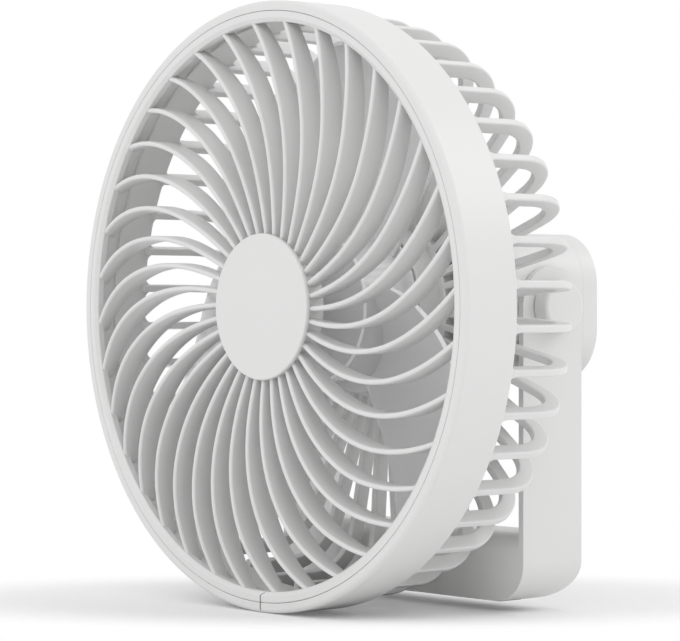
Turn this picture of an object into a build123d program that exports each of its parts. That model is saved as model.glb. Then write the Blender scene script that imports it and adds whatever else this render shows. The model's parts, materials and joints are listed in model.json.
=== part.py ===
from build123d import *

import os
from math import cos, pi, radians, sin, sqrt, tan

# Portable camping fan, in millimetres.
# While it is modelled, the fan's axis is +Y pointing to the back, y = 0 is the front face of the ring,
# +X is to the right as the fan is seen from the front, and +Z is up. STAND then sets the finished parts
# down, so that the origin is under the middle of the fan, on the surface that it stands on.

# ---- Driving dimensions -----------------------------------------------------------------------------

# Outer sleeve
ring_r = 100.3            # outer radius of the head
sleeve_depth = 21.0       # front face to rear edge
sleeve_wall = 2.4
sleeve_front_bevel = 1.4
lip_depth = 3.4           # thickness of the sleeve's front lip
lip_width = 3.3           # from the ring's edge in to the seam with the grille's rim

# Front grille
rim_face_width = 2.4      # flat face of the rim
rim_slope_width = 1.3     # the sloping edge inside it
rim_chamfer = 1.0         # depth of that edge
skirt_wall = 2.6          # wall of the skirt behind the rim
skirt_depth = 9.0
slat_count = 36
slat_wall = 1.7
slat_back = 6.4           # y of the slats' rear edge
slat_root_r = 21.6        # where the slats' curve starts
slat_mid_r = 50.0         # a point on its first arc
slat_bend_r = 56.0        # where the first arc runs into the second
slat_tip_inset = 1.4      # the curve ends this far inside the seam
slat_root_angle = 8.4     # the first slat's angle at each of these, in degrees
slat_mid_angle = 13.6
slat_bend_angle = 15.5
slat_tip_angle = 34.6
crown = 2.1               # how far the slats stand in front of the rim's face
crown_inset = 18.6        # they stand furthest out this far inside the rim
crown_root = 0.4          # the slope starts this far outside the hub cap
crown_run = 25.9          # length of its first part
crown_run_rise = 1.5      # how far that part stands out where it ends
crown_tip_y = 1.5         # and the slats end here at the rim
grille_hub_r = 22.8
grille_hub_depth = 7.0

# Hub cap
cap_r = 24.1
cap_thick = 1.45
cap_bevel = 0.5

# Rear cage
rib_count = 44
rib_wall = 2.5
rib_depth = 5.2           # width of a rib's flat side
cage_corner_r = 19.5      # outer radius of the ribs' corner
cage_back = 58.4          # y of the cage's rear face
cage_ring_wall = 3.3
cage_ring_back = 22.4
cage_disc_r = 32.0        # centre disc that carries the motor and the housing
rib_step = 0.3            # how far the ribs lie inside the ring's surface

# Impeller
blade_count = 3
blade_tip_gap = 4.3       # between the blades and the cage
blade_wall = 1.9          # along the fan's axis
hub_r = 25.0
hub_front = 24.0          # y of the hub's front face
hub_back = 48.2
hub_wall = 2.2
hub_plate = 2.5
hub_bevel = 1.5
blade_front_angle = 18.5  # angle of the front edge at the hub, in degrees
blade_sweep = 50.0        # how far the front edge runs round on its way to the tip
blade_tip_span = 22.5     # angle that the tip runs round before its corner
blade_corner_angle = 19.7  # angle that the rounded corner takes
blade_corner_depth = 14.0  # and how far in from the tip it ends
blade_corner_bow = 1.7    # how far its middle bulges rearward, in degrees
blade_rear_angle = -79.0  # angle of the rear edge at the hub
blade_rear_bow = 4.8      # how far the rear edge bows forward of its two ends, in degrees
blade_sheet_angle = -40.0  # the first blade is a twisted sheet about a line at this angle
blade_root_y = 35.8       # y of that line at the fan's axis
blade_root_pitch = 16.9   # slope of the sheet there, in degrees
blade_tip_y = 31.6        # y of the line at the tip
blade_tip_pitch = 16.2    # and the slope there

# Motor
mount_cup_r = 29.5
mount_cup_wall = 2.0
mount_cup_front = 44.0
mount_plate = 3.2
tube_wall = 3.0           # bearing tube that the shaft runs in
tube_front = 30.0
shaft_r = 2.0
shaft_back = 49.0
magnet_wall = 3.0
magnet_front = 30.5
magnet_back = 45.0
air_gap = 0.5
stator_teeth = 6
stator_front = 33.0
stator_back = 42.0
tooth_wall = 4.0
shoe_wall = 1.8
shoe_gap = 3.0
core_wall = 3.2
coil_wall = 1.6
nut_flats = 7.0
nut_height = 3.2

# Rear housing
housing_half_w = 59.7
housing_half_h = 23.4
housing_corner_r = 16.0
housing_back = 97.8
housing_wall = 2.2
cover_depth = 8.0         # depth of the rear cover
cover_bevel = 1.6
cover_lip = 1.5           # the cover's locating lip: how far it reaches in
cover_lip_wall = 1.4

# Battery and electronics
cell_r = 9.2
cell_length = 65.0
cell_gap = 2.6            # between the pivot's boss and the cells' tray
cradle_wall = 1.6         # under the cells and at their ends
board_wall = 1.2
port_width = 9.0
port_height = 3.2
port_wall = 0.35
port_inset = 19.6         # from the board's end to the port's middle
button_r = 6.5
button_bevel = 0.4
button_flange = 1.5
button_flange_wall = 1.2
button_travel = 0.8
button_gap = 0.15
button_x = 0.0
switch_half = 3.0
switch_body = 3.0
light_length = 20.0
light_height = 2.2
light_inset = 19.6        # from the board's other end to the window's middle

# Bracket
strap_wall = 2.2
strap_depth = 26.6        # width of the strap, along y
strap_front = 60.0
bracket_drop = 96.6       # pivot axis to the underside
bracket_corner_r = 13.0   # outer corner, seen from the front
bracket_heel_r = 12.0     # rear bottom edge, seen from the side
base_height = 22.4
base_edge_r = 6.0
base_wall = 2.4
base_cover_wall = 2.0
pad_wall = 1.2
pad_proud = 0.6
pad_width = 10.0
pad_length = 30.0
pad_inset = 2.0           # from the end of the base's pocket

# Pivots
pivot_y = strap_front + strap_depth / 2
pivot_pin_r = 4.0
pivot_cap_r = 8.7
pivot_cap_proud = 5.9
pivot_cap_bevel = 0.8
pivot_boss_r = 7.5
pivot_boss_length = 7.0

# Clearances
slip = 0.1                # round pieces that sit in each other
running = 0.05            # radial, a shaft in its bearing or a pin in its hole
side_gap = 0.1            # between faces that turn past each other

# ---- Sizes that follow ------------------------------------------------------------------------------

sleeve_inner_r = ring_r - sleeve_wall
seam_r = ring_r - lip_width
rim_face_r = seam_r - rim_face_width
rim_inner_r = rim_face_r - rim_slope_width
slat_tip_r = seam_r - slat_tip_inset
crown_r = rim_face_r - crown_inset
skirt_r = sleeve_inner_r - slip
cage_ring_r = sleeve_inner_r - slip
rib_outer_r = cage_ring_r - rib_step
rib_inner_r = rib_outer_r - rib_depth
blade_tip_r = rib_inner_r - blade_tip_gap
hub_bore_r = hub_r - hub_wall
magnet_r = hub_bore_r - slip
stator_r = magnet_r - magnet_wall - air_gap
tube_r = shaft_r + running + tube_wall
mount_back = cage_back - rib_depth
mount_front = mount_back - mount_plate
housing_front = cage_back
cover_front = housing_back - cover_depth
cover_inner_y = housing_back - housing_wall
board_back = cover_front - cover_lip
board_front = board_back - board_wall
board_half_h = housing_half_h - housing_wall - slip
board_half_w = housing_half_w - housing_corner_r - slip
port_x = board_half_w - port_inset
light_x = light_inset - board_half_w
boss_inner = housing_half_w - pivot_boss_length
cell_x = cell_length / 2 + cradle_wall + cell_gap - boss_inner
cell_y = housing_front + housing_wall + cradle_wall + cell_r + slip
strap_inner = housing_half_w + side_gap
strap_half_w = strap_inner + strap_wall
strap_back = strap_front + strap_depth
strap_top_r = strap_depth / 2
pocket_half = strap_half_w - bracket_corner_r
pad_x = pocket_half - pad_inset - pad_length / 2

front_y = -crown
middle_y = (front_y + housing_back) / 2
STAND = Pos(0, -middle_y, ring_r)


# ---- Helpers ----------------------------------------------------------------------------------------

def outline(*corners):
    """A closed face through (x, y) corners; a third number rounds that corner."""
    points = [corner[:2] for corner in corners]
    radii = [corner[2] if len(corner) > 2 else 0 for corner in corners]
    if any(radii):
        return make_face(FilletPolyline(*points, radius=radii, close=True))
    return make_face(Polyline(*points, close=True))


def turned(*corners):
    """A ring about the fan's axis, from (radius, y) corners."""
    return revolve(outline(*corners), axis=Axis.Y)


def rod_y(radius, front, back, x=0.0, z=0.0):
    """A round rod along the fan's axis."""
    return Pos(x, (front + back) / 2, z) * Rot(90, 0, 0) * Cylinder(radius, back - front)


def rod_x(radius, left, right, y, z=0.0):
    """A round rod across the fan."""
    return Pos((left + right) / 2, y, z) * Rot(0, 90, 0) * Cylinder(radius, right - left)


def slab(x, y, z):
    """A box between pairs of limits along each axis."""
    return Pos(sum(x) / 2, sum(y) / 2, sum(z) / 2) * Box(x[1] - x[0], y[1] - y[0], z[1] - z[0])


def around(part, count, start=0.0):
    """Copies of a part, evenly spaced counter-clockwise about the fan's axis."""
    return [Rot(0, -start - index * 360 / count, 0) * part for index in range(count)]


def pill(half_w, half_h, corner_r, front, back):
    """A block with rounded corners as seen from the front."""
    face = Plane.XZ.offset(-back) * RectangleRounded(2 * half_w, 2 * half_h, corner_r)
    return extrude(face, amount=back - front)


def slot_block(x, width, height, front, back):
    """A block with round ends as seen from the back, lying across the fan."""
    return extrude(Plane.XZ.offset(-back) * Pos(x, 0) * SlotOverall(width, height), amount=back - front)


def mirrored(part):
    """The same piece on the other side of the fan."""
    return mirror(part, about=Plane.YZ)


# ---- Ring and grille --------------------------------------------------------------------------------

def make_sleeve():
    return turned(
        (seam_r, 0),
        (ring_r - sleeve_front_bevel, 0),
        (ring_r, sleeve_front_bevel),
        (ring_r, sleeve_depth),
        (sleeve_inner_r, sleeve_depth),
        (sleeve_inner_r, lip_depth),
        (seam_r, lip_depth),
    )


def polar(radius, angle):
    """A point in the plane across the fan's axis."""
    return Vector(radius * cos(radians(angle)), 0, radius * sin(radians(angle)))


def beside(arc, offset):
    """The arc that runs beside another one, at a distance square to it."""
    points = [arc @ share + (arc % share).cross(Vector(0, 1, 0)) * offset for share in (0, 0.5, 1)]
    return ThreePointArc(*points)


def make_slat():
    """One slat: a strip along two arcs that run into each other, cut to the grille's domed front."""
    bend = polar(slat_bend_r, slat_bend_angle)
    root_arc = ThreePointArc(polar(slat_root_r, slat_root_angle), polar(slat_mid_r, slat_mid_angle), bend)
    tip_arc = TangentArc(bend, polar(slat_tip_r, slat_tip_angle), tangent=root_arc % 1)
    arcs = [root_arc, tip_arc]
    left = [beside(arc, slat_wall / 2) for arc in arcs]
    right = [beside(arc, -slat_wall / 2) for arc in arcs]
    ends = [Line(left[0] @ 0, right[0] @ 0), Line(left[1] @ 1, right[1] @ 1)]
    face = Pos(0, slat_back, 0) * make_face(left + right + ends)
    strip = extrude(face, amount=slat_back + 2 * crown, dir=(0, -1, 0))
    return strip & dome(slat_root_r - 2 * slat_wall, slat_tip_r + 2 * slat_wall)


def dome(start_r, end_r):
    """The space behind the grille's front, which slopes out to the crown and back to the rim."""
    root_r = cap_r + crown_root
    return turned(
        (start_r, cap_thick),
        (root_r, cap_thick),
        (root_r + crown_run, -crown_run_rise),
        (crown_r, -crown),
        (rim_face_r, crown_tip_y),
        (end_r, crown_tip_y),
        (end_r, slat_back),
        (start_r, slat_back),
    )


def make_grille():
    rim = turned(
        (rim_inner_r, rim_chamfer),
        (rim_face_r, 0),
        (seam_r - slip, 0),
        (seam_r - slip, lip_depth),
        (skirt_r, lip_depth),
        (skirt_r, skirt_depth),
        (skirt_r - skirt_wall, skirt_depth),
        (skirt_r - skirt_wall, lip_depth),
        (rim_inner_r, lip_depth),
    )
    hub = rod_y(grille_hub_r, cap_thick, cap_thick + grille_hub_depth)
    return rim.fuse(hub, *around(make_slat(), slat_count))


def make_hub_cap():
    return turned((0, 0), (cap_r - cap_bevel, 0), (cap_r, cap_bevel), (cap_r, cap_thick), (0, cap_thick))


# ---- Rear cage --------------------------------------------------------------------------------------

def make_cage():
    ring = turned(
        (cage_ring_r - cage_ring_wall, skirt_depth),
        (cage_ring_r, skirt_depth),
        (cage_ring_r, cage_ring_back),
        (cage_ring_r - cage_ring_wall, cage_ring_back),
    )
    disc = rod_y(cage_disc_r, mount_back, cage_back)
    root_y = (skirt_depth + cage_ring_back) / 2
    corner_r, corner_y = rib_outer_r - cage_corner_r, cage_back - cage_corner_r
    inside = (cage_corner_r - rib_depth) * cos(pi / 4)
    profile = outline(
        (rib_outer_r, root_y),
        (rib_outer_r, cage_back, cage_corner_r),
        (cage_disc_r - rib_depth, cage_back),
        (cage_disc_r - rib_depth, mount_back),
        (corner_r, mount_back),
        (corner_r + inside, corner_y + inside),
        (rib_inner_r, corner_y),
        (rib_inner_r, root_y),
    )
    rib = extrude(profile, amount=rib_wall / 2, both=True)
    return disc.fuse(ring, *around(rib, rib_count, 180 / rib_count))


# ---- Impeller and motor -----------------------------------------------------------------------------

def make_blade():
    """One blade: a sheet that twists evenly from hub to tip, cut to the blade's outline as seen from the front."""
    root_r = hub_r - hub_wall / 2
    tip_start = blade_front_angle - blade_sweep
    tip_end = tip_start - blade_tip_span
    corner_end = tip_end - blade_corner_angle
    front_edge = curve_between(root_r, blade_front_angle, blade_tip_r, tip_start, 0)
    tip = curve_between(blade_tip_r, tip_start, blade_tip_r, tip_end, 0)
    corner = curve_between(blade_tip_r, tip_end, blade_tip_r - blade_corner_depth, corner_end, -blade_corner_bow)
    rear_edge = curve_between(blade_tip_r - blade_corner_depth, corner_end, root_r, blade_rear_angle, blade_rear_bow)
    root = Line(rear_edge @ 1, front_edge @ 0)
    outline_face = make_face([front_edge, tip, corner, rear_edge, root])
    sheet = Face.make_bezier_surface([
        [sheet_point(0, -blade_tip_r), sheet_point(0, blade_tip_r)],
        [sheet_point(blade_tip_r, -blade_tip_r), sheet_point(blade_tip_r, blade_tip_r)],
    ])
    blank = Solid.extrude(sheet, Vector(0, blade_wall, 0))
    return blank & extrude(outline_face, amount=mount_back, dir=(0, 1, 0))


def curve_between(start_r, start_angle, end_r, end_angle, bow):
    """An arc between two points of the blade's outline, its middle turned by the bow, in degrees."""
    middle = polar((start_r + end_r) / 2, (start_angle + end_angle) / 2 + bow)
    return ThreePointArc(polar(start_r, start_angle), middle, polar(end_r, end_angle))


def sheet_point(out, across):
    """A point of the first blade's sheet: so far out along its line, and so far across it."""
    share = out / blade_tip_r
    slope = tan(radians(blade_root_pitch)) * (1 - share) + tan(radians(blade_tip_pitch)) * share
    height = blade_root_y * (1 - share) + blade_tip_y * share + slope * across
    turn = radians(blade_sheet_angle)
    return Vector(out * cos(turn) + across * sin(turn), height, out * sin(turn) - across * cos(turn))


def make_impeller():
    hub = turned(
        (shaft_r, hub_front),
        (hub_r - hub_bevel, hub_front),
        (hub_r, hub_front + hub_bevel),
        (hub_r, hub_back),
        (hub_bore_r, hub_back),
        (hub_bore_r, hub_front + hub_plate),
        (shaft_r, hub_front + hub_plate),
    )
    blades = around(make_blade(), blade_count)
    bore = rod_y(hub_bore_r, hub_front + hub_plate, hub_back + hub_wall)
    return hub.fuse(*blades) - bore


def make_rotor_magnet():
    return rod_y(magnet_r, magnet_front, magnet_back) - rod_y(magnet_r - magnet_wall, magnet_front, magnet_back)


def make_shaft():
    return rod_y(shaft_r, hub_front, shaft_back)


def make_impeller_nut():
    face = Plane.XZ.offset(-hub_front) * RegularPolygon(nut_flats / 2, 6, major_radius=False)
    return extrude(face, amount=nut_height)


def make_motor_mount():
    return turned(
        (shaft_r + running, tube_front),
        (tube_r, tube_front),
        (tube_r, mount_front),
        (mount_cup_r - mount_cup_wall, mount_front),
        (mount_cup_r - mount_cup_wall, mount_cup_front),
        (mount_cup_r, mount_cup_front),
        (mount_cup_r, mount_back),
        (0, mount_back),
        (0, mount_front),
        (shaft_r + running, mount_front),
    )


def make_stator_core():
    bore_r = tube_r + slip
    core = rod_y(bore_r + core_wall, stator_front, stator_back)
    shoes = rod_y(stator_r, stator_front, stator_back) - rod_y(stator_r - shoe_wall, stator_front, stator_back)
    gap = slab((stator_r / 2, stator_r + shoe_wall), (stator_front, stator_back), (-shoe_gap / 2, shoe_gap / 2))
    for cutter in around(gap, stator_teeth, 180 / stator_teeth):
        shoes -= cutter
    tooth = slab(
        (bore_r + core_wall / 2, stator_r - shoe_wall / 2),
        (stator_front, stator_back),
        (-tooth_wall / 2, tooth_wall / 2),
    )
    core = core.fuse(shoes, *around(tooth, stator_teeth))
    return core - rod_y(bore_r, stator_front, stator_back)


def make_stator_coils():
    """One square winding round each tooth, between the core and the shoe."""
    half = tooth_wall / 2 + slip
    inner_r = tube_r + slip + core_wall + slip
    outer_r = sqrt((stator_r - shoe_wall) ** 2 - (half + coil_wall) ** 2) - slip
    coil = slab(
        (inner_r, outer_r),
        (stator_front - slip - coil_wall, stator_back + slip + coil_wall),
        (-half - coil_wall, half + coil_wall),
    )
    hole = slab((inner_r, outer_r), (stator_front - slip, stator_back + slip), (-half, half))
    return around(coil - hole, stator_teeth)


# ---- Rear housing -----------------------------------------------------------------------------------

def make_housing():
    body = pill(housing_half_w, housing_half_h, housing_corner_r, housing_front, cover_front)
    body -= pill(
        housing_half_w - housing_wall,
        housing_half_h - housing_wall,
        housing_corner_r - housing_wall,
        housing_front + housing_wall,
        cover_front,
    )
    boss = rod_x(pivot_boss_r, boss_inner, housing_half_w - housing_wall / 2, pivot_y)
    bore = rod_x(pivot_pin_r + slip, boss_inner, housing_half_w, pivot_y)
    return body + boss + mirrored(boss) - bore - mirrored(bore)


def make_rear_cover():
    cover = pill(housing_half_w, housing_half_h, housing_corner_r, cover_front, housing_back)
    cover = chamfer(cover.faces().sort_by(Axis.Y)[-1].edges(), cover_bevel)
    lip_out = housing_wall + slip
    lip_in = lip_out + cover_lip_wall
    cover += pill(
        housing_half_w - lip_out, housing_half_h - lip_out, housing_corner_r - lip_out, board_back, cover_front
    )
    cover -= pill(
        housing_half_w - lip_in, housing_half_h - lip_in, housing_corner_r - lip_in, board_back, cover_inner_y
    )
    cover -= rod_y(button_r + button_gap, cover_inner_y, housing_back, button_x)
    cover -= slot_block(port_x, port_width + 2 * slip, port_height + 2 * slip, cover_inner_y, housing_back)
    cover -= slot_block(light_x, light_length + 2 * slip, light_height + 2 * slip, cover_inner_y, housing_back)
    return cover


def make_cells():
    left, right = cell_x - cell_length / 2, cell_x + cell_length / 2
    return [rod_x(cell_r, left, right, cell_y, z) for z in (-cell_r - slip, cell_r + slip)]


def make_cradle():
    """The tray that the cells lie in: a block against the housing's front wall, hollowed by the cells."""
    left, right = cell_x - cell_length / 2, cell_x + cell_length / 2
    half_h = 2 * cell_r + 2 * slip
    tray = slab((left - cradle_wall, right + cradle_wall), (housing_front + housing_wall, cell_y), (-half_h, half_h))
    for z in (-cell_r - slip, cell_r + slip):
        tray -= rod_x(cell_r + slip, left - slip, right + slip, cell_y, z)
    return tray


def make_control_board():
    return slab((-board_half_w, board_half_w), (board_front, board_back), (-board_half_h, board_half_h))


def make_switch():
    plunger_back = cover_inner_y - button_flange_wall - button_travel - side_gap
    body = slab(
        (button_x - switch_half, button_x + switch_half), (board_back, board_back + switch_body), (-switch_half, switch_half)
    )
    plunger_half = switch_half / 2
    plunger = slab(
        (button_x - plunger_half, button_x + plunger_half), (board_back, plunger_back), (-plunger_half, plunger_half)
    )
    return body + plunger


def make_power_button():
    flange_front = cover_inner_y - button_flange_wall
    cap = rod_y(button_r, flange_front, housing_back, button_x)
    cap = chamfer(cap.edges().sort_by(Axis.Y)[-1], button_bevel)
    return cap + rod_y(button_r + button_flange, flange_front, cover_inner_y, button_x)


def make_port():
    """The socket's metal shell on the board, open to the back, with its contact tongue."""
    back = housing_back - slip
    shell = slot_block(port_x, port_width, port_height, board_back, back)
    shell -= slot_block(port_x, port_width - 2 * port_wall, port_height - 2 * port_wall, board_back + board_wall, back)
    tongue = slab(
        (port_x - port_width / 4, port_x + port_width / 4), (board_back, back - board_wall), (-port_wall, port_wall)
    )
    return shell + tongue


def make_light_window():
    """The clear bar over the charge lights, from the board to the cover's outer face."""
    return slot_block(light_x, light_length, light_height, board_back, housing_back - slip)


# ---- Bracket ----------------------------------------------------------------------------------------

def make_bracket():
    top = -bracket_drop + base_height
    outer_view = Plane.XZ.offset(-strap_back) * outline(
        (-strap_half_w, strap_top_r),
        (-strap_half_w, -bracket_drop, bracket_corner_r),
        (strap_half_w, -bracket_drop, bracket_corner_r),
        (strap_half_w, strap_top_r),
    )
    outer = extrude(outer_view, amount=strap_depth)
    window = slab((-strap_inner, strap_inner), (strap_front, strap_back), (-bracket_drop + strap_wall, strap_top_r))
    straps = outer - window
    block_view = Plane.YZ.offset(-strap_half_w) * outline(
        (strap_front, -bracket_drop),
        (strap_back, -bracket_drop),
        (strap_back, top, base_edge_r),
        (strap_front, top, base_edge_r),
    )
    block = extrude(block_view, amount=2 * strap_half_w) & outer
    side_view = Plane.YZ.offset(-strap_half_w) * make_face([
        Line((strap_front, 0), (strap_front, -bracket_drop)),
        Line((strap_front, -bracket_drop), (strap_back - bracket_heel_r, -bracket_drop)),
        RadiusArc(
            (strap_back - bracket_heel_r, -bracket_drop),
            (strap_back, -bracket_drop + bracket_heel_r),
            -bracket_heel_r,
        ),
        Line((strap_back, -bracket_drop + bracket_heel_r), (strap_back, 0)),
        ThreePointArc((strap_back, 0), (pivot_y, strap_top_r), (strap_front, 0)),
    ])
    body = (straps + block) & extrude(side_view, amount=2 * strap_half_w)
    pocket = slab(
        (-pocket_half, pocket_half),
        (strap_front + base_wall, strap_back - bracket_heel_r),
        (-bracket_drop, top - base_wall),
    )
    body -= pocket
    hole = rod_x(pivot_pin_r + running, strap_inner, strap_half_w, pivot_y)
    return body - hole - mirrored(hole)


def make_base_cover():
    half = pocket_half - slip
    cover = slab(
        (-half, half),
        (strap_front + base_wall + slip, strap_back - bracket_heel_r - slip),
        (-bracket_drop, -bracket_drop + base_cover_wall),
    )
    for pad in make_foot_pads():
        cover -= pad
    return cover


def make_foot_pads():
    middle = (strap_front + base_wall + strap_back - bracket_heel_r) / 2
    pads = []
    for x in (-pad_x, pad_x):
        bottom = -bracket_drop - pad_proud
        pads.append(slab(
            (x - pad_length / 2, x + pad_length / 2),
            (middle - pad_width / 2, middle + pad_width / 2),
            (bottom, bottom + pad_wall),
        ))
    return pads


def make_pivot_stud():
    """The stud that the strap turns on: a pin in the housing's boss and the round cap outside the strap."""
    face, outer = strap_half_w + side_gap, strap_half_w + pivot_cap_proud
    cap = rod_x(pivot_cap_r, face, outer, pivot_y)
    cap = chamfer(cap.edges().sort_by(Axis.X)[-1], pivot_cap_bevel)
    return cap + rod_x(pivot_pin_r, boss_inner, face, pivot_y)


# ---- The parts --------------------------------------------------------------------------------------

parts = {
    "outer_sleeve": make_sleeve(),
    "front_grille": make_grille(),
    "hub_cap": make_hub_cap(),
    "rear_cage": make_cage(),
    "impeller": make_impeller(),
    "impeller_nut": make_impeller_nut(),
    "motor_shaft": make_shaft(),
    "rotor_magnet": make_rotor_magnet(),
    "motor_mount": make_motor_mount(),
    "stator_core": make_stator_core(),
    "stator_coils": make_stator_coils(),
    "rear_housing": make_housing(),
    "rear_cover": make_rear_cover(),
    "battery_cells": make_cells(),
    "cell_cradle": make_cradle(),
    "control_board": make_control_board(),
    "button_switch": make_switch(),
    "power_button": make_power_button(),
    "charging_port": make_port(),
    "light_window": make_light_window(),
    "bracket": make_bracket(),
    "base_cover": make_base_cover(),
    "foot_pads": make_foot_pads(),
    "pivot_stud_right": make_pivot_stud(),
    "pivot_stud_left": mirrored(make_pivot_stud()),
}

os.makedirs("parts", exist_ok=True)
for name, part in parts.items():
    pieces = part if isinstance(part, list) else [part]
    solids = [STAND * solid for piece in pieces for solid in piece.solids()]
    export_step(Compound(children=solids), os.path.join("parts", name + ".step"))
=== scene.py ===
# %% [markdown]
# # A portable camping fan in white plastic
#
# The fan is a round head with a swirl of curved slats in front, a broad smooth sleeve round it, a
# cage of C-shaped ribs behind, a long rounded battery housing across the back and a U-shaped
# bracket that the head turns in. This lesson dresses an engineering model of it: each visible
# piece is worked out as a surface with numpy and takes the place of its plain solid, and
# everything gets a procedural material.

# %% Load the engineering model
import bmesh
import bpy
import json
import numpy as np
from math import pi, radians
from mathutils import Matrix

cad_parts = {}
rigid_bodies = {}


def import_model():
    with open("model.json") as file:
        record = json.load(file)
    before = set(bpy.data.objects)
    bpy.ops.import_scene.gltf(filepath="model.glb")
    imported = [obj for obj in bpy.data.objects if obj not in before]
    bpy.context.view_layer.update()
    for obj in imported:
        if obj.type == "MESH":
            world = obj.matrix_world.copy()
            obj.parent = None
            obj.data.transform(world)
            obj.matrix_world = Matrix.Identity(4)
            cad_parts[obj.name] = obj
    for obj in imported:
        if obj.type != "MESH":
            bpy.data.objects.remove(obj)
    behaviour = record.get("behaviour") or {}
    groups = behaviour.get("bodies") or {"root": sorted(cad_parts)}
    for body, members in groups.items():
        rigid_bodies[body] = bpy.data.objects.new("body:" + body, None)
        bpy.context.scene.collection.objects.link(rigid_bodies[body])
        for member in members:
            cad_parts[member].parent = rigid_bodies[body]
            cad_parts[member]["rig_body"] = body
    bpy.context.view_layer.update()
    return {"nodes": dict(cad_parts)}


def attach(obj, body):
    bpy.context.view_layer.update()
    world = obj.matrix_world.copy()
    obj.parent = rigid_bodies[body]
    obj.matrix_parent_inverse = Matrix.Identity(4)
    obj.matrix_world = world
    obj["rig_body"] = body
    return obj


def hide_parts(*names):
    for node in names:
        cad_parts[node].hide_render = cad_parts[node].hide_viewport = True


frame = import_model()

# %% [markdown]
# ## The camera
#
# A camera at the height of the fan's middle, a little less than a metre away, looks level at it
# from the front right. It could be tilted to frame the fan, but keeping it level and moving the
# picture with the lens's shift keeps upright edges upright. A long lens keeps the near and far
# rim of the ring almost the same size.

# %% Camera
CAMERA_TURN = 49.97  # degrees to the right of the fan's axis


def in_scene(name, data):
    """A new object that holds the data, linked to the scene."""
    thing = bpy.data.objects.new(name, data)
    bpy.context.scene.collection.objects.link(thing)
    return thing


camera_data = bpy.data.cameras.new("studio_camera")
camera_data.sensor_width = 36.0
camera_data.lens = 146.14
camera_data.shift_y = -0.01605
camera_data.clip_start = 0.05
camera = in_scene("studio_camera", camera_data)
camera.location = (0.71005, -0.60997, 0.09937)
camera.rotation_euler = (pi / 2, 0.0, radians(CAMERA_TURN))
bpy.context.scene.camera = camera
print("camera", tuple(round(c, 3) for c in camera.location))

# %% [markdown]
# ## Working in the fan's own millimetres
#
# Every piece is easier to think about from the middle of the ring's front face: x to the right,
# y straight back along the fan's axis, z up, all in millimetres. One function moves such points
# to where the fan stands, and one turns a grid of points into a mesh. A grid that closes on
# itself in one direction makes a tube, and in both directions a ring.

# %% From millimetres to the standing fan
FAN_CENTRE = np.array([0.0, -47.85, 100.3])


def placed(points):
    """Fan millimetres -> metres where the fan stands: add the ring's centre, divide by 1000."""
    return (np.asarray(points, float) + FAN_CENTRE) / 1000.0


def about_axis(radius, y, angle):
    """Points about the fan's axis: x = radius cos(angle), z = radius sin(angle)."""
    radius, y, angle = np.broadcast_arrays(radius, y, angle)
    return np.stack([radius * np.cos(angle), y, radius * np.sin(angle)], axis=-1)


def repeated(points, count, first=0.0):
    """Copies of points (station, point, 3) turned about the axis -> (copy, station, point, 3).

    Copy k is turned by t = (first + k) / count of a circle: x cos t - z sin t, x sin t + z cos t.
    """
    turns = (np.arange(count) + first) * 2 * pi / count
    c, s = np.cos(turns)[:, None, None], np.sin(turns)[:, None, None]
    x, y, z = points[None, ..., 0], points[..., 1], points[None, ..., 2]
    return np.stack([c * x - s * z, np.broadcast_to(y, (count,) + y.shape), s * x + c * z], axis=-1)


# %% Which way faces point
def face_outwards(piece):
    """Joins points closer than 0.01 mm, turns faces outwards, keeps edges over 50 degrees sharp."""
    shape = bmesh.new()
    shape.from_mesh(piece.data)
    bmesh.ops.remove_doubles(shape, verts=shape.verts, dist=0.00001)
    bmesh.ops.recalc_face_normals(shape, faces=shape.faces)
    shape.to_mesh(piece.data)
    shape.free()
    piece.data.set_sharp_from_angle(angle=radians(50.0))


# %% A mesh from grids
def grid_faces(rows, columns, close_rows, close_columns):
    """Corner numbers of the four-sided faces between neighbours of a rows x columns grid."""
    r = np.arange(rows if close_rows else rows - 1)
    c = np.arange(columns if close_columns else columns - 1)
    a, b = np.meshgrid(r, c, indexing="ij")
    a2, b2 = (a + 1) % rows, (b + 1) % columns
    corners = [a * columns + b, a2 * columns + b, a2 * columns + b2, a * columns + b2]
    return np.stack(corners, axis=-1).reshape(-1, 4)


def surface(name, grids, close_rows=False, close_columns=True, caps=None):
    """Grids of points (copies, rows, columns, 3) in fan millimetres -> one mesh object.

    Every copy becomes its own skin. caps fills the first and last row of each copy: "flat" by one
    face, "strips" by four-sided faces between opposite points, for rows that are curved.
    """
    grids = np.asarray(grids, float)
    if grids.ndim == 3:
        grids = grids[None]
    copies, rows, columns, _ = grids.shape
    last_row = (rows - 1) * columns
    first_points = np.arange(copies)[:, None, None] * rows * columns
    quads = grid_faces(rows, columns, close_rows, close_columns)
    faces = (quads[None] + first_points).reshape(-1, 4).tolist()
    if caps == "strips":
        i = np.arange(columns // 2 - 1)
        strip = np.stack([i, i + 1, columns - 2 - i, columns - 1 - i], axis=-1)
        ends = np.concatenate([strip, strip[:, ::-1] + last_row])
        faces += (ends[None] + first_points).reshape(-1, 4).tolist()
    elif caps == "flat":
        ends = np.stack([np.arange(columns), np.arange(columns)[::-1] + last_row])
        faces += (ends[None] + first_points).reshape(-1, columns).tolist()
    mesh = bpy.data.meshes.new(name)
    mesh.from_pydata(placed(grids.reshape(-1, 3)).tolist(), [], faces)
    mesh.validate()
    mesh.polygons.foreach_set("use_smooth", np.full(len(mesh.polygons), True))
    mesh.update()
    piece = in_scene(name, mesh)
    face_outwards(piece)
    print(name, "has", len(mesh.polygons), "faces")
    return piece


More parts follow.
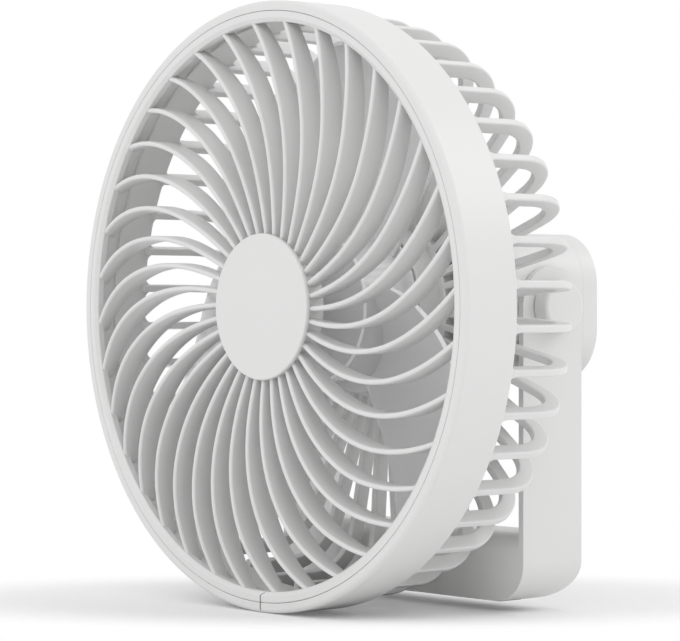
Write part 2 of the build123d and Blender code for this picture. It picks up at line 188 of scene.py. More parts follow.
# %% [markdown]
# ## Rounded corners, the sign of a moulded part
#
# No moulded edge is sharp. A bevel modifier could round every edge after the piece is made. Here
# the outline is rounded first, because each corner can then have its own radius: a profile is a
# list of corners, and each becomes a short arc. The same rounded profile then serves for turned
# rings and discs, and for the section of a rib.

# %% Round the corners of a profile
BESIDE_ARC = 0.06  # one more point this far beyond either end of an arc makes flat faces shade flat


def rounded(corners, steps=6):
    """A closed outline from (a, b, radius) corners: an arc at each one touches both its sides.

    A corner without a radius stays a point.
    """
    points = []
    count = len(corners)
    for i in range(count):
        here = np.array(corners[i][:2], float)
        before = np.array(corners[i - 1][:2], float)
        after = np.array(corners[(i + 1) % count][:2], float)
        if len(corners[i]) < 3:
            points.append(here[None])
            continue
        radius = corners[i][2]
        u, v = before - here, after - here
        u, v = u / np.linalg.norm(u), v / np.linalg.norm(v)
        half = np.arccos(np.clip(u @ v, -1, 1)) / 2
        centre = here + (u + v) / np.linalg.norm(u + v) * radius / np.sin(half)
        start = here + u * radius / np.tan(half) - centre
        end = here + v * radius / np.tan(half) - centre
        turn = np.arccos(np.clip(start @ end / radius**2, -1, 1))
        share = np.linspace(0, 1, steps + 1)[:, None]
        swing = np.sin((1 - share) * turn) * start + np.sin(share * turn) * end
        arc = centre + swing / np.sin(turn)
        points.append(np.concatenate([arc[:1] + u * BESIDE_ARC, arc, arc[-1:] + v * BESIDE_ARC]))
    return np.concatenate(points)


# %% Turned pieces
def turned_grid(corners, segments):
    """(angle, point, 3): the rounded (radius, y) profile carried round the fan's axis."""
    profile = rounded(corners)
    angle = np.linspace(0, 2 * pi, segments, endpoint=False)[:, None]
    return about_axis(profile[:, 0][None], profile[:, 1][None], angle)


def turned_ring(name, corners, segments=288):
    """A ring about the fan's axis: its profile is closed and stays away from the axis."""
    return surface(name, turned_grid(corners, segments), close_rows=True)


def turned_plug(name, corners, segments=192):
    """A solid turned piece: its profile starts and ends on the axis."""
    return surface(name, turned_grid(corners, segments), close_rows=True, close_columns=False)


def stands_for(piece, node, body):
    """The piece takes the place of a solid, or of a share of it, and moves with a body."""
    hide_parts(node)
    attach(piece, body)


# %% [markdown]
# ## The outer sleeve and the grille's rim
#
# The sleeve is a plain hoop with a soft front edge. The grille's rim sits inside its front lip
# with a hair of a gap, which shows as one fine dark line all round the face, and slopes inwards
# to the slats. The line could be painted on, but a real gap has the right shade from every side.

# %% Sleeve
SLEEVE_R, SLEEVE_BORE, SLEEVE_BACK = 100.3, 97.9, 21.0
LIP_R, LIP_BACK = 96.98, 3.4
outer_sleeve = turned_ring("sleeve_hoop", [
    (LIP_R, 0.0, 0.25), (SLEEVE_R, 0.0, 1.5), (SLEEVE_R, SLEEVE_BACK, 0.8),
    (SLEEVE_BORE, SLEEVE_BACK, 0.5), (SLEEVE_BORE, LIP_BACK, 0.2), (LIP_R, LIP_BACK, 0.2),
])
stands_for(outer_sleeve, "outer_sleeve", "head")

# %% Rim of the grille, with the skirt that goes back inside the sleeve
RIM_R, RIM_CREASE, RIM_BORE = 96.86, 94.7, 93.3
SKIRT_R, SKIRT_BORE, SKIRT_BACK = 97.8, 95.2, 9.04
grille_rim = turned_ring("grille_rim", [
    (RIM_BORE, 1.0, 0.5), (RIM_CREASE, 0.0, 0.5), (RIM_R, 0.0, 0.25), (RIM_R, LIP_BACK, 0.1),
    (SKIRT_R, 3.5, 0.1), (SKIRT_R, SKIRT_BACK, 0.05), (SKIRT_BORE, SKIRT_BACK, 0.05),
    (SKIRT_BORE, 3.6, 0.3), (RIM_BORE, 3.5, 0.5),
])
stands_for(grille_rim, "front_grille", "head")

# %% [markdown]
# ## Thirty-six swirling slats
#
# Seen from the front, a slat starts nearly straight at the hub and turns faster and faster
# towards the rim: its angle grows with the square of its distance. Seen from the side, the slats'
# front edges lie on a shallow dome, highest at about seven tenths of the radius. Each slat is a
# thin blade of plastic with a full round front edge. An array modifier could repeat one slat, but
# one numpy array holds them all: copies x stations along the slat x points round it.

# %% Shape of one slat
SLATS, SLAT_WALL, SLAT_BACK = 36, 1.7, 6.4
SLAT_FROM, SLAT_TO = 21.5, 95.4  # radii: inside the hub, and behind the rim
SWIRL_FROM, SWIRL_REACH = 24.0, 70.0
CROWN_R, CROWN_Y = 70.0, -2.1  # the dome's highest circle, in front of the ring
FRONT_LIMIT, SOFT_BACK = 1.45, 0.3


def slat_angle(radius):
    """Angle of a slat's middle line: 8.5 + 7 share + 18.2 share^2 degrees, share from 24 to 94."""
    share = (radius - SWIRL_FROM) / SWIRL_REACH
    return np.radians(8.5 + 7.0 * share + 18.2 * share**2)


def dome_front(radius):
    """y of the front edges: two arcs, of radius 293 inside and 86 outside, touch at the crown."""
    bend = np.where(radius < CROWN_R, 293.0, 86.0)
    return CROWN_Y + bend - np.sqrt(bend**2 - (radius - CROWN_R) ** 2)


# %% All slats at once
def slat_grids(stations=44, edge_points=9):
    """(slat, station, point, 3): two flat sides, a half-round front and a softened back."""
    radius = np.linspace(SLAT_FROM, SLAT_TO, stations)
    angle = slat_angle(radius)
    x, z = radius * np.cos(angle), radius * np.sin(angle)
    along = np.stack([np.gradient(x), np.gradient(z)], axis=-1)
    along /= np.linalg.norm(along, axis=-1, keepdims=True)
    side_x, side_z = -along[:, 1:], along[:, :1]
    turn = np.linspace(-pi / 2, pi / 2, edge_points)
    half = SLAT_WALL / 2
    back_offsets = [half, half - SOFT_BACK, -half + SOFT_BACK, -half]
    offset = np.concatenate([half * np.sin(turn), back_offsets])[None]
    front = np.minimum(dome_front(radius), FRONT_LIMIT)[:, None] + half * (1 - np.cos(turn))
    back = np.full((stations, 1), SLAT_BACK) + np.array([-SOFT_BACK, 0.0, 0.0, -SOFT_BACK])
    y = np.concatenate([front, back], axis=1)
    points = np.stack([x[:, None] + side_x * offset, y, z[:, None] + side_z * offset], axis=-1)
    return repeated(points, SLATS)


grille_slats = surface("grille_slats", slat_grids(), caps="flat")
stands_for(grille_slats, "front_grille", "head")

# %% [markdown]
# ## Hub and cap
#
# In the middle the slats run into a hub, and a plain round cap covers its front. Both could be
# cylinders with a bevel. A rounded profile that starts and ends on the axis gives the same with
# no corner left to chance, and closes the middle with a single point.

# %% Hub behind the slats and the plain round cap
GRILLE_HUB_R, GRILLE_HUB_FRONT, GRILLE_HUB_BACK = 22.8, 1.5, 8.45
CAP_R, CAP_BACK = 24.1, 1.45
grille_hub = turned_plug("grille_hub", [
    (0, GRILLE_HUB_FRONT), (GRILLE_HUB_R, GRILLE_HUB_FRONT, 0.2),
    (GRILLE_HUB_R, GRILLE_HUB_BACK, 0.4), (0, GRILLE_HUB_BACK),
])
stands_for(grille_hub, "front_grille", "head")
hub_cap = turned_plug("hub_cap_disc", [
    (0, 0), (CAP_R, 0, 0.5), (CAP_R, CAP_BACK, 0.15), (0, CAP_BACK),
])
stands_for(hub_cap, "hub_cap", "head")

# %% [markdown]
# ## The rear cage
#
# Forty-four ribs come straight back from a ring inside the sleeve, bend inwards round a generous
# corner and run to a disc in the middle. Every rib is one section, a rounded oblong, carried
# along that path; a curve with a bevel object would do the same, but less exactly at the corner.

# %% Path of a rib in its own upright plane
RIBS, RIB_DEPTH, RIB_WALL, RIB_EDGE = 44, 5.2, 2.5, 0.6
CAGE_R, CAGE_BACK, CORNER_R = 97.5, 58.4, 19.5
RING_BACK, RIB_OVERLAP = 22.4, 1.6  # the ribs start this far inside the ring
RIB_END_R = 31.2


def rib_path(straight=12, bend=22, leg=14):
    """Middle line and outward direction in (radius, y): a straight, a quarter turn, a straight."""
    middle_r = CORNER_R - RIB_DEPTH / 2
    centre = np.array([CAGE_R - CORNER_R, CAGE_BACK - CORNER_R])
    first_y = np.linspace(RING_BACK - RIB_OVERLAP, centre[1], straight)[:-1]
    first = np.stack([np.full_like(first_y, CAGE_R - RIB_DEPTH / 2), first_y], axis=-1)
    turn = np.linspace(0, pi / 2, bend)
    out = np.stack([np.cos(turn), np.sin(turn)], axis=-1)
    last_r = np.linspace(centre[0], RIB_END_R, leg)[1:]
    last = np.stack([last_r, np.full_like(last_r, CAGE_BACK - RIB_DEPTH / 2)], axis=-1)
    path = np.concatenate([first, centre + middle_r * out, last])
    sideways, backwards = np.tile([1.0, 0.0], (len(first), 1)), np.tile([0.0, 1.0], (len(last), 1))
    return path, np.concatenate([sideways, out, backwards])


# %% All ribs at once
def rib_grids():
    """(rib, station, point, 3): a rounded oblong carried along the path.

    The ribs start half a step round, so that none lies exactly at the side or on top.
    """
    path, outward = rib_path()
    deep, wide = RIB_DEPTH / 2, RIB_WALL / 2
    section = rounded([
        (-deep, -wide, RIB_EDGE), (deep, -wide, RIB_EDGE),
        (deep, wide, RIB_EDGE), (-deep, wide, RIB_EDGE),
    ], 4)
    depth, width = section[None, :, 0], section[None, :, 1]
    radius = path[:, :1] + outward[:, :1] * depth
    y = path[:, 1:] + outward[:, 1:] * depth
    points = np.stack([radius, y, np.broadcast_to(width, radius.shape)], axis=-1)
    return repeated(points, RIBS, first=0.5)


cage_ribs = surface("cage_ribs", rib_grids(), caps="flat")
stands_for(cage_ribs, "rear_cage", "head")

# %% [markdown]
# ## Where the openings end, and what the ribs join
#
# At the ring, the openings between the ribs end in round corners. They could be cut with a
# boolean for each opening. It is simpler to add a band to the ring whose back edge rises beside
# each rib in a quarter circle: from above it looks like one row of scallops. The ring itself and
# the centre disc are plain turned pieces.

# %% Scalloped edge
BAND_BORE, BAND_R, BAND_FRONT, BAND_BACK = 94.45, 97.48, 20.0, 22.35


def scallop_grid(fillet=2.8, steps=8):
    """(angle, point, 3): at distance d from a rib the edge lies f - sqrt(f^2 - (f - d)^2) back."""
    near = fillet * (1 - np.cos(np.linspace(0, pi / 2, steps)))
    gap = 2 * pi * CAGE_R / RIBS - RIB_WALL
    along = np.concatenate([near, gap - near[::-1]])
    within = np.maximum(fillet - np.minimum(along, gap - along), 0)
    rise = fillet - np.sqrt(np.maximum(fillet**2 - within**2, 0))
    first = (RIB_WALL / 2 + along) / CAGE_R + pi / RIBS
    angle = (first[None] + np.arange(RIBS)[:, None] * 2 * pi / RIBS).reshape(-1, 1)
    radius, y = rounded([
        (BAND_BORE, BAND_FRONT), (BAND_R, BAND_FRONT),
        (BAND_R, BAND_BACK, 0.4), (BAND_BORE, BAND_BACK, 0.4),
    ], 4).T
    y = y[None] + np.tile(rise, RIBS)[:, None] * (y > BAND_FRONT + 1.0)[None]
    return about_axis(radius[None], y, angle)


cage_slot_ends = surface("cage_slot_ends", scallop_grid(), close_rows=True)
stands_for(cage_slot_ends, "rear_cage", "head")

# %% Ring and centre disc of the cage
RING_BORE, RING_FRONT = 94.4, 9.05
DISC_R, DISC_FRONT, DISC_BACK = 32.0, 53.1, 58.38
cage_ring = turned_ring("cage_ring", [
    (RING_BORE, RING_FRONT, 0.05), (SKIRT_R, RING_FRONT, 0.05),
    (SKIRT_R, RING_BACK, 0.4), (RING_BORE, RING_BACK, 0.4),
])
stands_for(cage_ring, "rear_cage", "head")
cage_disc = turned_plug("cage_disc", [
    (0, DISC_FRONT), (DISC_R, DISC_FRONT, 0.6), (DISC_R, DISC_BACK, 0.6), (0, DISC_BACK),
])
stands_for(cage_disc, "rear_cage", "head")

# %% [markdown]
# ## The impeller
#
# Three broad blades sweep round a hub cup. Seen from the front, a blade's front edge lags more
# and more towards the tip, like a scythe, and its rear edge runs nearly straight out and ends in
# a large round corner. A blade could be modelled from a bent plane. Here every point between the
# two edges is given by its radius and by its share of the way across, and the blade goes back
# from the front edge to the rear one with a slight belly, so that its twist is even.

# %% Outline of a blade
BLADES, BLADE_WALL = 3, 1.8
ROOT_R, TIP_R, TIP_CORNER = 23.9, 88.0, 9.0
BLADE_FRONT, BLADE_REAR, BELLY = 26.9, 42.0, 0.08


def edge_angles(radius):
    """Degrees of the front edge, 18.5 - 50 * share of the way out, and of the rear edge.

    The rear edge is a parabola that a power of 1.26 rounds off from radius 74. The front edge ends
    in a corner of radius 9: it lags by (9 - sqrt(81 - d^2)) / radius, d being how far into it.
    """
    front = 18.5 - 50.0 * (radius - ROOT_R) / (TIP_R - ROOT_R)
    rear = -71.6 + 0.0911 * (radius - 50.0) - 0.00744 * (radius - 50.0) ** 2
    rear = rear + 24.9 * (np.clip(radius - 74.0, 0, None) / 14.0) ** 1.26
    inside = np.clip(radius - (TIP_R - TIP_CORNER), 0, TIP_CORNER)
    lag = (TIP_CORNER - np.sqrt(TIP_CORNER**2 - inside**2)) / radius
    return front - np.degrees(lag), rear


def blade_middle(radius, share):
    """Middle surface: y = front y + (rear y - front y) * (share + 0.08 sin(pi share))."""
    front, rear = edge_angles(radius)
    angle = np.radians(front + (rear - front) * share)
    front_y = BLADE_FRONT - (radius - ROOT_R) / (TIP_R - ROOT_R)
    y = front_y + (BLADE_REAR - front_y) * (share + BELLY * np.sin(pi * share))
    return about_axis(radius, y, angle)


# %% All blades at once
BLADE_STATIONS, BLADE_ACROSS, BLADE_FROM = 36, 28, 24.2


def blade_grids():
    """(blade, station, point, 3): front and back side, 1.8 apart and a little less at the edges."""
    out = np.sin(np.linspace(0, pi / 2, BLADE_STATIONS))[:, None]
    radius = BLADE_FROM + (TIP_R - BLADE_FROM) * out
    share = (1 - np.cos(np.linspace(0, pi, BLADE_ACROSS)))[None] / 2
    middle = blade_middle(radius, share)
    normal = np.cross(np.gradient(middle, axis=0), np.gradient(middle, axis=1))
    normal /= np.maximum(np.linalg.norm(normal, axis=-1, keepdims=True), 1e-9)
    half = (BLADE_WALL / 2 - 0.15 * np.abs(2 * share - 1) ** 40)[..., None]
    upper, lower = middle + normal * half, middle - normal * half
    return repeated(np.concatenate([upper, lower[:, ::-1]], axis=1), BLADES)


impeller_blades = surface("impeller_blades", blade_grids(), caps="strips")
stands_for(impeller_blades, "impeller", "rotor")

# %% Hub cup, with a thin lip behind the blades that covers the gap to the motor's cup
HUB_R, HUB_BORE, HUB_FRONT, HUB_BACK = 25.0, 22.8, 24.0, 48.2
SHAFT_HOLE_R, HUB_FLOOR = 2.0, 26.5
COVER_LIP_R, COVER_LIP_FRONT, COVER_LIP_BACK = 28.9, 42.4, 43.4
impeller_hub = turned_ring("impeller_hub", [
    (SHAFT_HOLE_R, HUB_FRONT, 0.2), (HUB_R, HUB_FRONT, 0.7), (HUB_R, COVER_LIP_FRONT, 0.3),
    (COVER_LIP_R, COVER_LIP_FRONT, 0.3), (COVER_LIP_R, COVER_LIP_BACK, 0.3),
    (HUB_R, COVER_LIP_BACK, 0.3), (HUB_R, HUB_BACK, 0.5), (HUB_BORE, HUB_BACK, 0.3),
    (HUB_BORE, HUB_FLOOR, 0.5), (SHAFT_HOLE_R, HUB_FLOOR, 0.2),
], segments=192)
stands_for(impeller_hub, "impeller", "rotor")

# %% [markdown]
# ## Pieces that keep their solid's shape
#
# The bracket, the housing and its cover, the pivot caps and the button already have their true
# shape, so working them out again would gain nothing. What they lack is the softened edge of a
# moulding. Each is copied, its loose triangles are merged and flat areas joined again, a bevel
# rounds the sharp edges only, and weighted normals keep the flat areas evenly shaded. The
# housing and its cover are also stretched a little at top and bottom.

# %% Soften a copy of a solid
SHARP_ANGLE = 28.0  # degrees; flatter edges belong to curved faces and stay


def softened(node, name, width, segments=3):
    """A copy of a solid: vertices merged, flat areas joined, sharp edges rounded by width mm."""
    source = frame["nodes"][node]
    mesh = source.data.copy()
    mesh.name = name
    shape = bmesh.new()
    shape.from_mesh(mesh)
    bmesh.ops.remove_doubles(shape, verts=shape.verts, dist=0.00001)
    bmesh.ops.dissolve_limit(
        shape, angle_limit=radians(0.4), verts=shape.verts, edges=shape.edges)
    shape.to_mesh(mesh)
    shape.free()
    mesh.polygons.foreach_set("use_smooth", np.full(len(mesh.polygons), True))
    piece = in_scene(name, mesh)
    bevel = piece.modifiers.new("soft_edges", "BEVEL")
    bevel.width, bevel.segments = width / 1000.0, segments
    bevel.limit_method, bevel.angle_limit = "ANGLE", radians(SHARP_ANGLE)
    even = piece.modifiers.new("even_faces", "WEIGHTED_NORMAL")
    even.weight, even.keep_sharp = 100, True
    stands_for(piece, node, source["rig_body"])
    print(name, "has", len(mesh.polygons), "faces before its edges are rounded")
    return piece


# %% Stretch a piece at top and bottom
def taller(piece, start=0.008, end=0.0234, gain=0.001):
    """Moves points up or down, away from the pivot's height, by gain * s^2 (3 - 2 s) metres.

    s grows from 0 at the distance start to 1 at the distance end from that height.
    """
    points = np.empty(len(piece.data.vertices) * 3)
    piece.data.vertices.foreach_get("co", points)
    points = points.reshape(-1, 3)
    height = points[:, 2] - FAN_CENTRE[2] / 1000.0
    s = np.clip((np.abs(height) - start) / (end - start), 0, 1)
    points[:, 2] += np.sign(height) * gain * s**2 * (3 - 2 * s)
    piece.data.vertices.foreach_set("co", points.reshape(-1))
    piece.data.update()
    print(piece.name, "is up to", 1000 * gain, "mm higher at the top and lower at the bottom")


# %% The softened pieces
bracket_strap = softened("bracket", "bracket_strap", 0.5)
housing_shell = softened("rear_housing", "housing_shell", 0.3, segments=2)
cover_shell = softened("rear_cover", "cover_shell", 0.3, segments=2)
taller(housing_shell)
taller(cover_shell)
pivot_right = softened("pivot_stud_right", "pivot_cap_right_dome", 0.5)
pivot_left = softened("pivot_stud_left", "pivot_cap_left_dome", 0.5)
power_key = softened("power_button", "power_key", 0.25)
pads = softened("foot_pads", "foot_pads_soft", 0.25)
base_plate = softened("base_cover", "base_plate", 0.2)
motor_cup = softened("motor_mount", "motor_cup", 0.3)

# %% [markdown]
# ## Materials
#
# Moulded plastic is never quite even: its roughness wanders a little, its colour a touch, and a
# fine spark texture breaks the highlights. An image could carry that, but would need unwrapped
# pieces. Each finish is instead one small network of noise on the object's own coordinates, so
# that the pattern is the same size on every piece.

# %% Moulded plastic
SPARK_SCALE, WANDER_SCALE, WANDER = 2600.0, 38.0, 0.04
TINT_SHIFT = 0.012


def plastic(name, colour, roughness, grain=0.04):
    """Plastic: fine noise for bump, broad noise for roughness and a slight shift of the colour."""
    material = bpy.data.materials.new(name)
    material.use_nodes = True
    nodes, links = material.node_tree.nodes, material.node_tree.links
    shader = nodes["Principled BSDF"]
    place = nodes.new("ShaderNodeTexCoord")
    fine, broad = nodes.new("ShaderNodeTexNoise"), nodes.new("ShaderNodeTexNoise")
    for noise, scale, detail in ((fine, SPARK_SCALE, 2.0), (broad, WANDER_SCALE, 3.0)):
        noise.inputs["Scale"].default_value = scale
        noise.inputs["Detail"].default_value = detail
        links.new(place.outputs["Object"], noise.inputs["Vector"])
    bump = nodes.new("ShaderNodeBump")
    bump.inputs["Strength"].default_value = grain
    bump.inputs["Distance"].default_value = 0.0002
    links.new(fine.outputs["Fac"], bump.inputs["Height"])
    links.new(bump.outputs["Normal"], shader.inputs["Normal"])
    span = nodes.new("ShaderNodeMapRange")
    span.inputs["To Min"].default_value = roughness - WANDER
    span.inputs["To Max"].default_value = roughness + WANDER
    links.new(broad.outputs["Fac"], span.inputs["Value"])
    links.new(span.outputs["Result"], shader.inputs["Roughness"])
    ramp = nodes.new("ShaderNodeValToRGB")
    for element, shift in zip(ramp.color_ramp.elements, (1 - TINT_SHIFT, 1 + TINT_SHIFT)):
        element.color = tuple(min(c * shift, 1.0) for c in colour) + (1.0,)
    links.new(broad.outputs["Fac"], ramp.inputs["Fac"])
    links.new(ramp.outputs["Color"], shader.inputs["Base Color"])
    return material


# %% [markdown]
# ## The parting line
#
# At the ring's lowest point a fine line crosses the sleeve's lip and the rim, where the mould
# closed. It is far too fine to be worth cutting. A few math nodes darken the colour there: they
# ask how far a point is aside from the line and whether it lies between the line's two ends.

# %% Parting line across the ring's lowest point
LINE_WIDTH, LINE_ASIDE, LINE_DEPTH = 0.0006, 0.0002, 0.0014  # metres, as all in this cell
LINE_TOP, LINE_BOTTOM, BEND_HEIGHT, BEND = -0.0936, -0.0995, 0.0012, 1100.0


def parting_line(material):
    """Darkens the colour where |x - bend - aside| < width / 2, between the line's top and bottom.

    The bend, 1100 h^2, moves the line to +x where it is h above the last 1.2 mm below its top.
    """
    nodes, links = material.node_tree.nodes, material.node_tree.links
    shader = nodes["Principled BSDF"]

    def worked_out(operation, first, second=0.0):
        """The output of one math node on two values or sockets."""
        step = nodes.new("ShaderNodeMath")
        step.operation = operation
        for socket, value in zip(step.inputs, (first, second)):
            if isinstance(value, float):
                socket.default_value = value
            else:
                links.new(value, socket)
        return step.outputs["Value"]

    place = nodes.new("ShaderNodeTexCoord")
    axes = nodes.new("ShaderNodeSeparateXYZ")
    links.new(place.outputs["Object"], axes.inputs["Vector"])
    height = worked_out("SUBTRACT", axes.outputs["Z"], FAN_CENTRE[2] / 1000.0)
    above = worked_out("SUBTRACT", height, LINE_TOP - BEND_HEIGHT)
    above = worked_out("MAXIMUM", above, 0.0)
    bend = worked_out("MULTIPLY", worked_out("MULTIPLY", above, above), BEND)
    aside = worked_out("SUBTRACT", axes.outputs["X"], bend)
    aside = worked_out("ABSOLUTE", worked_out("SUBTRACT", aside, LINE_ASIDE))
    on_line = worked_out("LESS_THAN", aside, LINE_WIDTH / 2)
    front = FAN_CENTRE[1] / 1000.0 + LINE_DEPTH
    for operation, value, limit in (("LESS_THAN", height, LINE_TOP),
                                    ("GREATER_THAN", height, LINE_BOTTOM),
                                    ("LESS_THAN", axes.outputs["Y"], front)):
        on_line = worked_out("MULTIPLY", on_line, worked_out(operation, value, limit))
    dark = nodes.new("ShaderNodeMix")
    dark.data_type = "RGBA"
    dark.inputs[7].default_value = (0.16, 0.16, 0.16, 1.0)
    links.new(on_line, dark.inputs[0])
    links.new(shader.inputs["Base Color"].links[0].from_socket, dark.inputs[6])
    links.new(dark.outputs[2], shader.inputs["Base Color"])
    return material


# %% Metal, and the finishes by name
def metal(name, colour, roughness):
    """Metal: the plastic's network with a fainter grain and the shader's Metallic at 1."""
    material = plastic(name, colour, roughness, grain=0.02)
    material.node_tree.nodes["Principled BSDF"].inputs["Metallic"].default_value = 1.0
    return material


SATIN_WHITE = (0.70, 0.70, 0.696)
white_shell = plastic("white_satin_plastic", SATIN_WHITE, 0.36)
ring_shell = parting_line(plastic("white_satin_ring", SATIN_WHITE, 0.36))
impeller_plastic = plastic("impeller_plastic", (0.74, 0.74, 0.745), 0.12, grain=0.01)
# Near white and glossy: a painted highlight for the narrow front edges of the impeller.
impeller_painted_highlight = plastic("impeller_painted_highlight", (0.97, 0.97, 0.97), 0.1, grain=0.0)
dark_plastic = plastic("dark_plastic", (0.06, 0.06, 0.065), 0.5)
soft_rubber = plastic("grey_rubber", (0.22, 0.22, 0.22), 0.8, grain=0.3)
steel = metal("plain_steel", (0.62, 0.62, 0.63), 0.32)
copper = metal("copper_wire", (0.75, 0.36, 0.18), 0.35)
board_green = plastic("green_board", (0.02, 0.16, 0.07), 0.4)
cell_blue = plastic("cell_sleeve", (0.08, 0.2, 0.4), 0.35)
frosted = plastic("frosted_window", (0.75, 0.78, 0.8), 0.25)
print("whites:", white_shell.name, ring_shell.name, impeller_plastic.name, impeller_painted_highlight.name)
print("others:", soft_rubber.name, dark_plastic.name, frosted.name, steel.name, copper.name)

# %% [markdown]
# ## Dressing the pieces
#
# Each piece gets one finish. Only the impeller has two: the front edges of its blades and the front
# corner of its hub catch the light on the real fan, and a painted highlight, a near-white glossy
# finish on those narrow faces, keeps them light inside the shaded cage.

# %% Dress every piece and every solid that still shows
def dress(thing, material):
    """Gives the whole piece one finish."""
    thing.data.materials.clear()
    thing.data.materials.append(material)
    indices = np.zeros(len(thing.data.polygons), np.int32)
    thing.data.polygons.foreach_set("material_index", indices)


for pieces, material, slot in (
        ((outer_sleeve, grille_rim), ring_shell, "shell_white"),
        ((grille_slats, grille_hub, hub_cap, cage_ribs, cage_slot_ends, cage_ring, cage_disc,
          bracket_strap, housing_shell, cover_shell, pivot_right, pivot_left, power_key,
          base_plate, motor_cup), white_shell, "shell_white"),
        ((impeller_blades, impeller_hub), impeller_plastic, "impeller_white"),
        ((pads,), soft_rubber, "rubber_grey")):
    for piece in pieces:
        dress(piece, material)
    print(len(pieces), "pieces in", material.name)

# %% Finishes of the inner solids
finishes = {
    "impeller_nut": steel, "motor_shaft": steel, "rotor_magnet": steel, "stator_core": steel,
    "stator_coils": copper, "battery_cells": cell_blue, "cell_cradle": dark_plastic,
    "control_board": board_green, "button_switch": dark_plastic, "charging_port": steel,
    "light_window": frosted,
}
for node, material in finishes.items():
    dress(frame["nodes"][node], material)
print(len(finishes), "solids keep their own mesh")


# %% Painted highlight on the impeller's edges
def paint_edge_highlight(piece, chosen):
    """Gives the chosen faces, an array of true and false, the near-white finish of a painted
    highlight.
    """
    piece.data.materials.append(impeller_painted_highlight)
    piece.data.polygons.foreach_set("material_index", chosen.astype(np.int32))
    print(piece.name, "has", int(chosen.sum()), "edge faces")


def face_centres(piece):
    """Centres of the faces in fan millimetres: metres times 1000, less the ring's centre."""
    centres = np.empty(len(piece.data.polygons) * 3)
    piece.data.polygons.foreach_get("center", centres)
    return centres.reshape(-1, 3) * 1000.0 - FAN_CENTRE


# Faces this close to the hub's front corner get the painted highlight.
HIGHLIGHT_BAND = 0.75
centre_x, centre_y, centre_z = face_centres(impeller_hub).T
outermost = np.hypot(centre_x, centre_z) > HUB_R - HIGHLIGHT_BAND
paint_edge_highlight(impeller_hub, outermost & (centre_y < HUB_FRONT + HIGHLIGHT_BAND))
# The faces between a blade's two sides, along its front edge, get the painted highlight.
round_blade = 2 * BLADE_ACROSS
face = np.arange(len(impeller_blades.data.polygons))
between_sides = face % round_blade == round_blade - 1
on_blades = face < BLADES * (BLADE_STATIONS - 1) * round_blade
paint_edge_highlight(impeller_blades, between_sides & on_blades)

# %% [markdown]
# ## The studio
#
# A product shot on white is lit from all round, as in a tent of white cloth. Dozens of lamps
# could stand in for the cloth. An even glow from the world and four broad soft sources do it
# here: the strongest stands behind the fan on its right and the next one in front, both 40
# degrees up, so that the sleeve's side and the rims are bright and the faces a light grey.
#
# The fan stands on white paper. To the camera the paper turns plain white a little way off, so
# that only the shadow beside the fan is left of it. For the light that bounces off it, painted
# shade makes it a dark grey right under the cage, because the shaded inside of the cage needs less
# light.

# %% Oval areas on the paper
def oval(nodes, links, centre, half_widths, turn, start):
    """Node that grows from 0 in an oval on the floor to 1 outside, by sqrt((x/a)^2 + (y/b)^2).

    The growth begins where that root is start, and the oval is turned by turn degrees.
    """
    place = nodes.new("ShaderNodeTexCoord")
    mapping = nodes.new("ShaderNodeMapping")
    mapping.vector_type = "TEXTURE"
    mapping.inputs["Location"].default_value = (*centre, 0)
    mapping.inputs["Rotation"].default_value = (0, 0, radians(turn))
    mapping.inputs["Scale"].default_value = (*half_widths, 1)
    length = nodes.new("ShaderNodeVectorMath")
    length.operation = "LENGTH"
    step = nodes.new("ShaderNodeMapRange")
    step.interpolation_type = "SMOOTHSTEP"
    step.inputs["From Min"].default_value = start
    links.new(place.outputs["Object"], mapping.inputs["Vector"])
    links.new(mapping.outputs["Vector"], length.inputs[0])
    links.new(length.outputs["Value"], step.inputs["Value"])
    return step


# %% Paper that turns white away from the fan, with painted shade under the cage
# The paper's colour for bouncing light: painted shade of 0.1 under the cage, 0.9 further off.
SHADE_PAINTED_UNDER, BOUNCE_AWAY, PAPER_TONE = 0.1, 0.9, 0.855
LEAST_WHITE = 0.12  # share of plain white that the camera sees even in the shadow


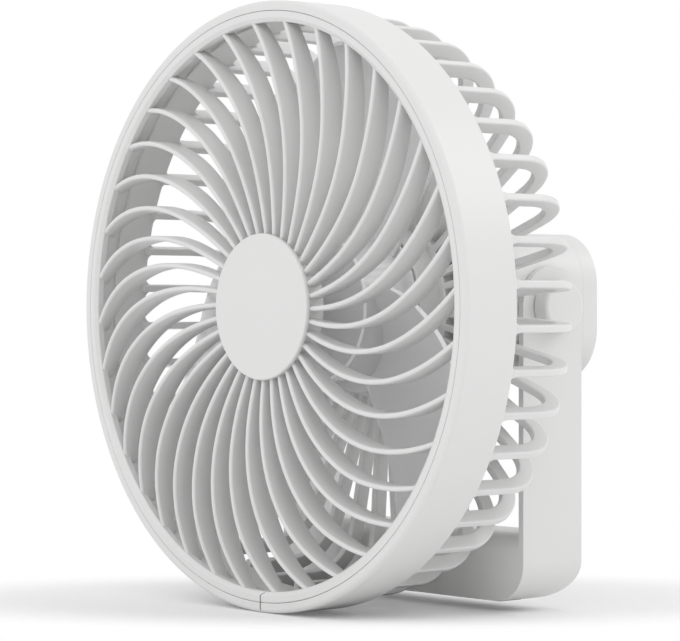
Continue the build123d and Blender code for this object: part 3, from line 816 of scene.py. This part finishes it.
def floor_paper():
    """White paper: painted shade makes it grey under the cage for bouncing light; white to the
    camera further off.
    """
    material = bpy.data.materials.new("floor_paper")
    material.use_nodes = True
    nodes, links = material.node_tree.nodes, material.node_tree.links
    shader, output = nodes["Principled BSDF"], nodes["Material Output"]
    shader.inputs["Roughness"].default_value = 0.9
    shader.inputs["Specular IOR Level"].default_value = 0.0
    ray = nodes.new("ShaderNodeLightPath")
    # Painted shade: the oval under the cage where the paper bounces little light.
    under = oval(nodes, links, (0.0, -0.002), (0.062, 0.030), 0.0, 0.6)
    under.inputs["To Min"].default_value = SHADE_PAINTED_UNDER
    under.inputs["To Max"].default_value = BOUNCE_AWAY
    tone = nodes.new("ShaderNodeMapRange")
    tone.inputs["To Max"].default_value = PAPER_TONE
    links.new(under.outputs["Result"], tone.inputs["To Min"])
    links.new(ray.outputs["Is Camera Ray"], tone.inputs["Value"])
    links.new(tone.outputs["Result"], shader.inputs["Base Color"])
    away = oval(nodes, links, (-0.0115, 0.0096), (0.20, 0.10), CAMERA_TURN, 0.55)
    away.inputs["To Min"].default_value = LEAST_WHITE
    seen = nodes.new("ShaderNodeMath")
    seen.operation = "MULTIPLY"
    links.new(away.outputs["Result"], seen.inputs[0])
    links.new(ray.outputs["Is Camera Ray"], seen.inputs[1])
    white = nodes.new("ShaderNodeEmission")
    mix = nodes.new("ShaderNodeMixShader")
    links.new(seen.outputs["Value"], mix.inputs["Fac"])
    links.new(shader.outputs["BSDF"], mix.inputs[1])
    links.new(white.outputs["Emission"], mix.inputs[2])
    links.new(mix.outputs["Shader"], output.inputs["Surface"])
    return material


# %% Floor
FLOOR_HALF = 4
floor_corners = [(-FLOOR_HALF, -FLOOR_HALF, 0), (FLOOR_HALF, -FLOOR_HALF, 0),
                 (FLOOR_HALF, FLOOR_HALF, 0), (-FLOOR_HALF, FLOOR_HALF, 0)]
floor_mesh = bpy.data.meshes.new("studio_floor")
floor_mesh.from_pydata(floor_corners, [], [(0, 1, 2, 3)])
floor = in_scene("studio_floor", floor_mesh)
floor.data.materials.append(floor_paper())
print("floor of", 2 * FLOOR_HALF, "by", 2 * FLOOR_HALF, "metres")

# %% Even glow, and plain white for the camera
GLOW = 0.92
world = bpy.data.worlds.new("studio_surroundings")
bpy.context.scene.world = world
world.use_nodes = True
sky = world.node_tree.nodes["Background"]
sky.inputs["Color"].default_value = (1, 1, 1, 1)
path = world.node_tree.nodes.new("ShaderNodeLightPath")
strength = world.node_tree.nodes.new("ShaderNodeMapRange")
strength.inputs["To Min"].default_value = GLOW
strength.inputs["To Max"].default_value = 1.0
world.node_tree.links.new(path.outputs["Is Camera Ray"], strength.inputs["Value"])
world.node_tree.links.new(strength.outputs["Result"], sky.inputs["Strength"])
print("glow", GLOW, "on the fan, 1 for the camera")


# %% Broad soft sources
def soft_source(azimuth, height, energy, spread=35.0):
    """A wide far lamp at an azimuth, 0 in front of the fan and 90 on its right, and a height.

    All angles are in degrees. It is turned by 90 - height about x, then by azimuth about z.
    """
    lamp = bpy.data.lights.new(f"source_{azimuth:03d}_{height:02d}", "SUN")
    lamp.energy, lamp.angle = energy, radians(spread)
    holder = in_scene(lamp.name, lamp)
    holder.rotation_euler = (radians(90.0 - height), 0.0, radians(azimuth))
    print(lamp.name, "with strength", energy)


for azimuth, height, energy in ((135, 40, 0.56), (180, 70, 0.08), (0, 40, 0.41), (315, 40, 0.03)):
    soft_source(azimuth, height, energy)

# %% View settings
bpy.context.scene.view_settings.view_transform = "Standard"
